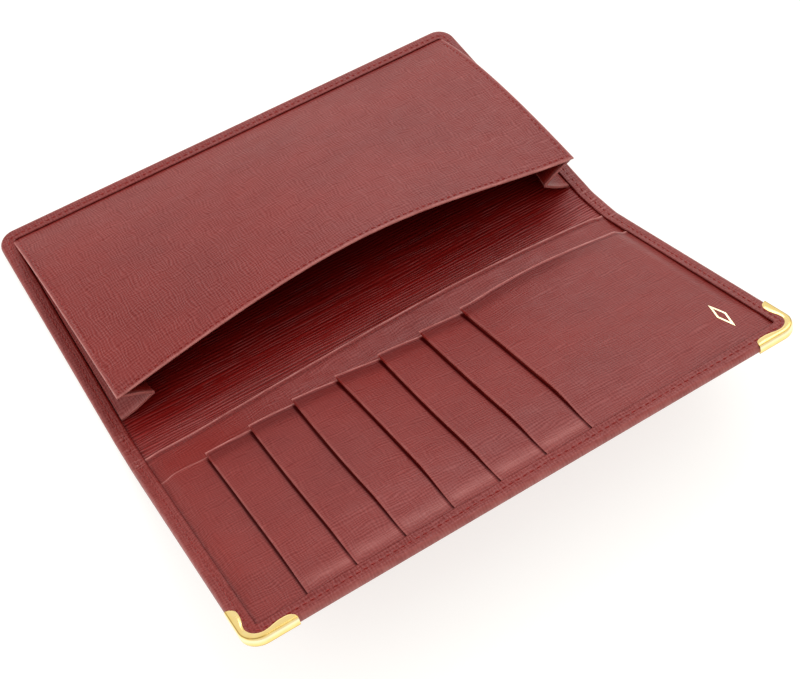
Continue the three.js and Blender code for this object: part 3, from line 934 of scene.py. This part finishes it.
def folded_edge_rub_and_painted_light(inwards):
    """A folded edge is rubbed pale along its crest, paler still as a painted highlight, with a painted shade
    line where its seam pulls it in.
    """
    return 0.6 * bell((inwards - 0.5) / 0.45) - 0.4 * bell((inwards - 1.8) / 0.6)


slip_s = stops(near_s(LINE_A), near_s(TUCK_Q), 2.5, extra=list(np.arange(near_s(LINE_A), near_s(4), 0.35)))
# The slip pocket's folded edge gets a painted highlight and a painted shade line.
slip = sheet_object(
    "slip_pocket_sheet", tuck_x, slip_s, slip_top,
    lambda x, s: mix(1.15, 0.55, smooth((s - near_s(LINE_A) - 1.5) / 2.5)),
    near_place, rounding=0.55, crease=0.1, crease_at=2.0,
    extra_wear_and_painted_light=lambda x, s: folded_edge_rub_and_painted_light(s - near_s(LINE_A)), worn_and_painted_light=(0.2, 1.2),
)
finish_piece(slip, CARD_LEATHER, "burgundy_leather", "slip_pocket_panel")
bend(slip, "near")

SLIP_STITCH = 1.7
row_x = np.linspace(-INNER_X + 1.5, INNER_X - 1.5, 90)
row_s = np.full_like(row_x, near_s(LINE_A + SLIP_STITCH))
row_path = near_place(row_x, row_s, slip_top(row_x, row_s) - 0.1)
slip_stitches = stitch_row(
    "slip_pocket_seam", row_path, near_place(row_x, row_s, 4 + 0 * row_x) - row_path, width=0.3, rise=0.12
)
finish_piece(slip_stitches, THREAD, "thread", "slip_pocket_stitching")
bend(slip_stitches, "near")


def fabric_layer(name, half_width, from_q, to_q, top, thickness, node):
    """One of the two hidden layers of fabric, cut to a plain rectangle and laid in place."""
    piece = sheet_object(
        name, stops(-half_width, half_width, 2.4), stops(near_s(from_q), near_s(to_q), 2.5),
        level(top), level(thickness), near_place, rounding=thickness / 2,
    )
    finish_piece(piece, FABRIC, "backing_fabric", node)
    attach(piece, "near_half")


fabric_layer("near_lining_sheet", TUCK_X, 2.0, TUCK_Q, 1.85, 0.2, "near_lining")
fabric_layer(
    "card_backing_sheet", TUCK_X, LINE_B + 0.9, TUCK_Q, 2.6, 0.12, "card_backing"
)

by_edge = [near_s(LINE_B + v) for v in (2.2, 3, 4, 5.2, 6.6)]
strip_s = stops(near_s(LINE_B), near_s(TUCK_Q), 2.0, extra=by_edge)

WIDE_BULGE = 3.4  # how high the widest strip's folded edge arches
WIDE_ANCHOR = point(0.0, near_s(40.0), 3.2)


def wide_bulge(x, q):
    """The widest strip stands up in an arch along its folded edge."""
    arch = bell((x - 58) / 24) * smooth((x - SLOT_X[-1] - 1) / 14)
    return WIDE_BULGE * arch * (1 - smooth((q - LINE_B) / 42))


def slot_shade(index, x, q):
    """Painted shade: the dark line in the open gap under a slot's edge."""
    gap = 1.1 * bell((x - SLOT_X[index] - slot_bow(index, q) + 0.25) / 0.46)
    return gap * smooth((q - LINE_B) / 3)


def base_top(x, s):
    dip = 0.42 * smooth((x - SLOT_X[0] + 9) / 8)
    return 3.45 - dip + wave(x, s - SPINE, 8, 0.04) + 0.3 * rim_rise(s)


# The card base gets the painted shade in the first slot's gap.
base_panel = sheet_object(
    "card_base_sheet", tuck_x, strip_s, base_top, level(0.35), near_place,
    rounding=0.2, extra_wear_and_painted_light=lambda x, s: -slot_shade(0, x, s - SPINE),
)
finish_piece(base_panel, CARD_LEATHER, "burgundy_leather", "card_base_panel")
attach(base_panel, "near_half")

shade_lines = [slot_x + d for slot_x in SLOT_X for d in np.arange(-2.6, 1.0, 0.3)]
for index, start in enumerate(SLOT_X):
    widest = index == len(SLOT_X) - 1
    end = TUCK_X if widest else start + SLOT_REACH
    lines_x = stops(start, end, 1.6, extra=[start + 1.75, start + 2.0, start + 2.25] + shade_lines)

    # Painted light on each strip: the folded edge's painted highlight and shade line, a painted shade band
    # below the panel's folded edge, a paler band at the lower end (rubbing and painted highlight), and the
    # painted shade in the next slot's gap.
    def strip_wear_and_painted_light(x, s, index=index):
        q = s - SPINE
        tone = folded_edge_rub_and_painted_light(q - LINE_B) - 0.4 * bell((q - LINE_B - 4) / 2.4) * (1 - smooth((x - 50) / 40))
        if not widest:
            tone = tone + 0.3 * bell((q - 81.5) / 1.8) * smooth((x - SLOT_X[index]) / 2)
            tone = tone - slot_shade(index + 1, x, q)
        return tone

    def strip_top(x, s, index=index):
        crease = 0.05 * bell((x - SLOT_X[index] - 2.1) / 0.3)
        uneven = wave(x, s - SPINE, index + 1) * smooth((x - SLOT_X[index]) / 3)
        if widest:
            uneven = uneven + wide_bulge(x, s - SPINE)
        return slot_top(index, x) + uneven - crease + rim_rise(s)

    strip = sheet_object(
        f"card_slot_leather_{index + 1}", lines_x, strip_s, strip_top,
        lambda x, s, index=index: slot_thickness(index, x), slot_place(index), rounding=0.5,
        worn_and_painted_light=(0.35, 1.0), extra_wear_and_painted_light=strip_wear_and_painted_light,
    )
    finish_piece(strip, CARD_LEATHER, "burgundy_leather", f"card_slot_{index + 1}")
    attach(strip, "near_half")
    if widest:
        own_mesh(strip)

# ---- Foil lozenge ----

FOIL_AT = (81.0, 72.0)  # x and q of its middle
FOIL_HALF = (1.7, 6.5)
FOIL_LINE = 0.34  # width of its line, as a share of its half size
FOIL_T = 0.05


def foil_lozenge():
    shape = Shape()
    turn = np.linspace(0, 1, 49)
    corner_x = np.interp(turn * 4, range(5), [0, 1, 0, -1, 0])
    corner_q = np.interp(turn * 4, range(5), [1, 0, -1, 0, 1])
    rings = []
    inner = 1.0 - FOIL_LINE
    for share, lift in ((1.0, 0.0), (1.0, FOIL_T), (inner, FOIL_T), (inner, 0.0), (1.0, 0.0)):
        x = FOIL_AT[0] + FOIL_HALF[0] * share * corner_x
        q = FOIL_AT[1] + FOIL_HALF[1] * share * corner_q
        rings.append((foil_surface(x, q, lift + 0.03), pairs(x, q)))
    shape.grid(np.stack([r[0] for r in rings]), np.stack([r[1] for r in rings]))
    return shape.build("foil_lozenge", crease_deg=30)


foil = foil_lozenge()
finish_piece(foil, FOIL, "gold_foil", "foil_ornament")
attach(foil, "near_half")

# ---- Brass corners ----

BRASS_ARM = 15.6
FLANGE = [  # (way along an arm, width)
    (4.0, 2.25), (5.0, 1.95), (6.2, 1.85), (7.6, 2.0), (9.2, 2.45), (10.8, 2.75),
    (12.4, 2.8), (13.6, 2.65), (14.5, 2.2), (15.1, 1.6), (15.45, 0.95), (15.6, 0.3),
]
BRASS_TOP = EDGE_H + 0.14


def flange_width(along):
    return np.interp(along, [a for a, _ in FLANGE], [w for _, w in FLANGE])


def brass_corner(name, sign):
    """A C-shaped strip swept round the corner, whose flanges swell and taper along each arm."""
    tip = np.linspace(BRASS_ARM, BRASS_ARM - 1.6, 9)
    arm = np.concatenate([tip, np.linspace(BRASS_ARM - 2, NEAR_CORNER_R, 22)])
    arc = np.linspace(0, math.pi / 2, 15)[1:-1]
    stations = [("side", a, flange_width(a)) for a in arm]
    stations += [("arc", a, flange_width(NEAR_CORNER_R) + 0.12 * math.sin(2 * a)) for a in arc]
    stations += [("end", a, flange_width(a)) for a in arm[::-1]]

    def section(width):
        """(inset, h) round the C; the first point repeats at the end."""
        inner = [(width - 0.1, -0.3), (-0.05, -0.3), (-0.12, -0.6)]
        top = [(width, -0.22), (width - 0.06, -0.08), (width - 0.2, -0.02), (width * 0.5, 0.06)]
        top += [(0.34, 0.02), (0.2, 0), (0.06, -0.03)]
        wall = [(0.0, -0.1), (-0.06, -0.12), (-0.22, -0.35), (-0.34, -0.9)]
        inner, top, wall = ([(a, BRASS_TOP + h) for a, h in part] for part in (inner, top, wall))
        wall += [(-0.35, EDGE_H * 0.6), (-0.35, EDGE_H * 0.5)]
        mirror = [(a, EDGE_H - h) for a, h in top + wall[:-1]][::-1]
        mirror_inner = [(a, EDGE_H - h) for a, h in inner][::-1]
        return top + wall + mirror + mirror_inner + inner[::-1] + top[:1]

    rings = []
    for kind, value, width in stations:
        points = []
        for inset, h in section(width):
            if kind == "side":
                x, q = HALF_LENGTH - inset, NEAR_DEPTH - value
            elif kind == "end":
                x, q = HALF_LENGTH - value, NEAR_DEPTH - inset
            else:
                reach = NEAR_CORNER_R - inset
                x = HALF_LENGTH - NEAR_CORNER_R + reach * math.cos(value)
                q = NEAR_DEPTH - NEAR_CORNER_R + reach * math.sin(value)
            points.append((sign * x, q, h))
        rings.append(points)
    rings = np.array(rings)
    shape = Shape()
    x, q, h = rings[..., 0], rings[..., 1], rings[..., 2]
    inset, height = np.array(section(2.0)).T
    # Painted highlight and painted shade in bands across the flange and up the wall, standing in for the
    # brass's reflections.
    flange_painted_light = np.interp(inset, [-0.1, -0.03, 0.08, 0.2, 0.34, 0.6], [0.2, -0.9, -0.9, -0.5, 0.0, 0.15])
    wall_painted_light = np.interp(height, [0.1, 0.5, 1.0, 1.5, 2.2, 2.8], [-0.8, 0.1, 0.0, 0.35, 0.75, 0.3])
    brass_painted_light = np.where(inset < -0.15, wall_painted_light, flange_painted_light)
    shape.grid(place(x, near_s(q), h), pairs(x, q), brass_painted_light[None, :] * np.ones_like(x))
    return shape.build(name, crease_deg=24, fill_holes=True)


for side, sign in (("left", -1), ("right", 1)):
    corner = brass_corner(f"brass_corner_{side}", sign)
    finish_piece(corner, BRASS, "polished_brass", f"corner_protector_{side}")
    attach(corner, "near_half")

# ---- Bellows pocket ----

PANEL_STITCH = 1.7
PANEL_TURN = 7  # the edge is turned under by this much
PANEL_LINES = (1.15, 1.4, 1.7, 2.0, 2.3, 3.3, 5, PANEL_TURN, 7.7, 8.5)  # mesh lines, from the edge


def panel_edge(x, run):
    """Distance to the panel's sides and its open edge, but not to the seam."""
    return np.minimum(PANEL_FAR_W - np.abs(x), PANEL_LENGTH - run)


def panel_thickness(x, run):
    turned = 1 - smooth((panel_edge(x, run) - PANEL_TURN) / 1.5)
    seam = smooth((run - 1.5) / 5)
    return (0.85 + 0.25 * turned) * mix(0.55, 1.0, seam)


def panel_top(x, run):
    edge = panel_edge(x, run)
    groove = 0.1 * bell((edge - PANEL_STITCH) / 0.32)
    ghost = 0.06 * smooth((edge - PANEL_TURN) / 1.5)
    return -groove - ghost


def finish_flap_piece(obj, material, slot, node):
    """Gives a piece on the pocket's front panel its material, hides its CAD parts, attaches it to the pocket
    front and gives it a mesh of its own.
    """
    finish_piece(obj, material, slot, node)
    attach(obj, "pocket_front")
    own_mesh(obj)


side_lines = [side * (PANEL_FAR_W - v) for v in PANEL_LINES for side in (-1, 1)]
panel_x = np.unique(np.round([*stops(-PANEL_FAR_W, PANEL_FAR_W, 2.6), *side_lines], 3))
panel_run = stops(0, PANEL_LENGTH, 2.2, extra=[PANEL_LENGTH - v for v in PANEL_LINES])
panel = sheet_object("pocket_front_leather", panel_x, panel_run, panel_top, panel_thickness, panel_place)
finish_flap_piece(panel, PANEL_LEATHER, "burgundy_leather", "pocket_front_panel")

LINING_INSET = 1.4
inner_x = stops(-(PANEL_FAR_W - LINING_INSET), PANEL_FAR_W - LINING_INSET, 3.0)
inner_run = stops(1.5, PANEL_LENGTH - LINING_INSET, 3.0)
# Painted shade: the lining inside the front panel is evenly darkened.
panel_lining = sheet_object(
    "pocket_front_lining_sheet", inner_x, inner_run, lambda x, run: -panel_thickness(x, run) - 0.1,
    level(LINING_T), panel_place, rounding=0.2, worn_and_painted_light=(0.0, 0.0), extra_wear_and_painted_light=level(-0.4),
)
finish_flap_piece(panel_lining, LINING_LEATHER, "lining_leather", "pocket_front_lining")


def panel_seam():
    side_run = np.linspace(5, PANEL_LENGTH - PANEL_STITCH, 60)
    side_x = np.full_like(side_run, PANEL_FAR_W - PANEL_STITCH)
    mouth_x = np.linspace(-side_x[0], side_x[0], 120)[1:-1]
    mouth_run = np.full_like(mouth_x, PANEL_LENGTH - PANEL_STITCH)
    x = np.concatenate([-side_x, mouth_x, side_x])
    run = np.concatenate([side_run, mouth_run, side_run[::-1]])
    path = panel_place(x, run, panel_top(x, run))
    return stitch_row("pocket_front_seam", path, panel_place(x, run, 1.0 + 0 * x) - path)


finish_flap_piece(panel_seam(), THREAD, "thread", "pocket_front_stitching")

# ---- Gussets ----

GUSSET_X = 89.3
GUSSET_BASE_H = 2.3
GUSSET_DEPTH = 14.4  # width of each face at the mouth
GUSSET_T = 0.7
GUSSET_FROM = 0.06  # the faces start this share of the way down the panel


def gusset_lines(side_sign, run):
    """Base line, inner fold and top line of one side's gusset, in millimetres, at shares of the length."""
    edge_x = np.full_like(run, side_sign * (PANEL_FAR_W - 1.3))
    edge = panel_place(edge_x, run * PANEL_LENGTH, -1.15 + 0 * run) / MM
    base_y = edge[:, 1] + 0.5
    base = np.stack([0 * run + side_sign * GUSSET_X, base_y, 0 * run + GUSSET_BASE_H], axis=-1)
    half_rise = (edge[:, 2] - GUSSET_BASE_H) / 2
    width = GUSSET_DEPTH * run + 1.2
    depth = np.sqrt(np.maximum(width**2 - half_rise**2, 0.3))
    fold_x = side_sign * (GUSSET_X - 0.92 * depth)
    fold_z = GUSSET_BASE_H + half_rise + 1.5 * run
    fold = np.stack([fold_x, (base_y + edge[:, 1]) / 2 - 1.1 * run, fold_z], axis=-1)
    return base, fold, edge


def gusset_sheet(name, from_line, to_line, sag, painted_shade):
    """One face between two lines; sag bows it, and the last argument darkens it away from the mouth as
    painted shade.
    """
    runs = len(from_line)
    across = np.concatenate([[0, 0.01, 0.03], np.linspace(0.07, 0.93, 12), [0.97, 0.99, 1.0]])
    middle = from_line[:, None, :] * (1 - across)[None, :, None] + to_line[:, None, :] * across[None, :, None]
    normal = unit(np.cross(np.gradient(middle, axis=0), np.gradient(middle, axis=1)))
    width = np.linalg.norm(to_line - from_line, axis=1)[:, None]
    middle = middle + normal * (sag * width * np.sin(math.pi * across)[None, :])[..., None]
    from_edge = np.minimum(across[None, :] * width, (1 - across)[None, :] * width)
    ends = np.minimum(np.arange(runs), np.arange(runs)[::-1])[:, None] * 0.35
    swell = np.sqrt(1 - (1 - np.clip(np.minimum(from_edge, ends) / (GUSSET_T / 2), 0, 1)) ** 2)
    from_mouth = (np.linalg.norm(from_line - from_line[-1], axis=1))[:, None]
    thickness = GUSSET_T + 0.45 * bell(from_mouth / 1.6)
    flat = pairs(across[None, :] * width, np.linspace(0, 80, runs)[:, None] + 0 * swell)
    shape = Shape()
    offset = normal * (thickness / 2 * swell)[..., None]
    # The edges and the mouth are rubbed pale, which also paints their highlight; painted shade darkens the
    # face away from the mouth.
    wear_and_painted_light = np.maximum(0.6 * bell(from_edge / 0.4), 0.7 * bell(from_mouth / 0.7))
    wear_and_painted_light = wear_and_painted_light - painted_shade * smooth((from_mouth - 1) / 4)
    shape.grid((middle + offset) * MM, flat, wear_and_painted_light)
    shape.grid((middle - offset) * MM, flat, wear_and_painted_light)
    return shape.build(name)


def gusset_face(node, from_line, to_line, sag, painted_shade):
    face = gusset_sheet(f"{node}_leather", from_line, to_line, sag, painted_shade)
    finish_piece(face, PANEL_LEATHER, "burgundy_leather", node)
    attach(face, f"{node}_face")
    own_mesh(face)


run_lines = np.concatenate([[GUSSET_FROM], np.linspace(GUSSET_FROM + 0.004, 0.99, 46), [0.994, 0.997]])
for side, sign in (("left", -1), ("right", 1)):
    base, fold, edge = gusset_lines(sign, run_lines)
    gusset_face(f"gusset_lower_{side}", base, fold, 0.03 * sign, 0.15)
    gusset_face(f"gusset_upper_{side}", edge, fold, -0.03 * sign, 0.75)

# ---- Hidden CAD parts that stay ----

for node in ("board_far", "board_near"):
    for material_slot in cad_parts[node].material_slots:
        material_slot.link = "OBJECT"
        material_slot.material = BOARD

# ---- Studio ----

CAMERA_AT = Vector((-0.12404, -0.2886, 0.40107))
CAMERA_TOWARDS = Vector((-0.00209, -0.07595, 0.01977))
CAMERA_ROLL = math.radians(-2.507)
CAMERA_LENS = 63.45
LIGHTS_TOWARDS = Vector((0, -0.05, 0.02))
FLOOR_HALF = 4.0
FLOOR_DROP = 0.0006


def add_camera():
    data = bpy.data.cameras.new("camera")
    data.lens = CAMERA_LENS
    data.sensor_width = 36.0
    data.clip_start = 0.01
    camera = link("camera", data)
    camera.location = CAMERA_AT
    aim = (CAMERA_TOWARDS - CAMERA_AT).to_track_quat("-Z", "Y")
    camera.rotation_mode = "QUATERNION"
    camera.rotation_quaternion = aim @ Quaternion((0, 0, 1), CAMERA_ROLL)
    bpy.context.scene.camera = camera


def add_floor():
    n = Nodes("floor")
    cloud = n.noise(n.position(), (3, 3, 3))
    n.drive("Base Color", n.mix(cloud, (0.40, 0.41, 0.40), (0.44, 0.45, 0.44)))
    n.set(Roughness=0.8, Specular_IOR_Level=0.1)
    n.set(Emission_Color=(1.0, 0.99, 0.965, 1), Emission_Strength=0.7)
    mesh = bpy.data.meshes.new("floor")
    corners = [(x * FLOOR_HALF, y * FLOOR_HALF, 0) for x, y in ((-1, -1), (1, -1), (1, 1), (-1, 1))]
    mesh.from_pydata(corners, [], [(0, 1, 2, 3)])
    mesh.materials.append(n.material)
    floor = link("floor", mesh)
    floor.location.z = -FLOOR_DROP


def add_softbox(name, at, size, power):
    data = bpy.data.lights.new(name, "AREA")
    data.shape = "RECTANGLE"
    data.size, data.size_y = size
    data.energy = power
    light = link(name, data)
    light.location = at
    light.rotation_mode = "QUATERNION"
    light.rotation_quaternion = (LIGHTS_TOWARDS - Vector(at)).to_track_quat("-Z", "Y")


def add_world():
    world = bpy.data.worlds.new("studio")
    world.use_nodes = True
    background = world.node_tree.nodes["Background"]
    background.inputs["Color"].default_value = (1.0, 0.983, 0.945, 1)
    background.inputs["Strength"].default_value = 0.9
    bpy.context.scene.world = world


add_camera()
add_floor()
add_world()
add_softbox("key_softbox", (0.55, 0.75, 1.0), (1.1, 1.1), 6.5)
add_softbox("fill_softbox", (-0.9, 0.1, 0.9), (0.8, 0.8), 2.5)
bpy.context.scene.view_settings.view_transform = "Standard"
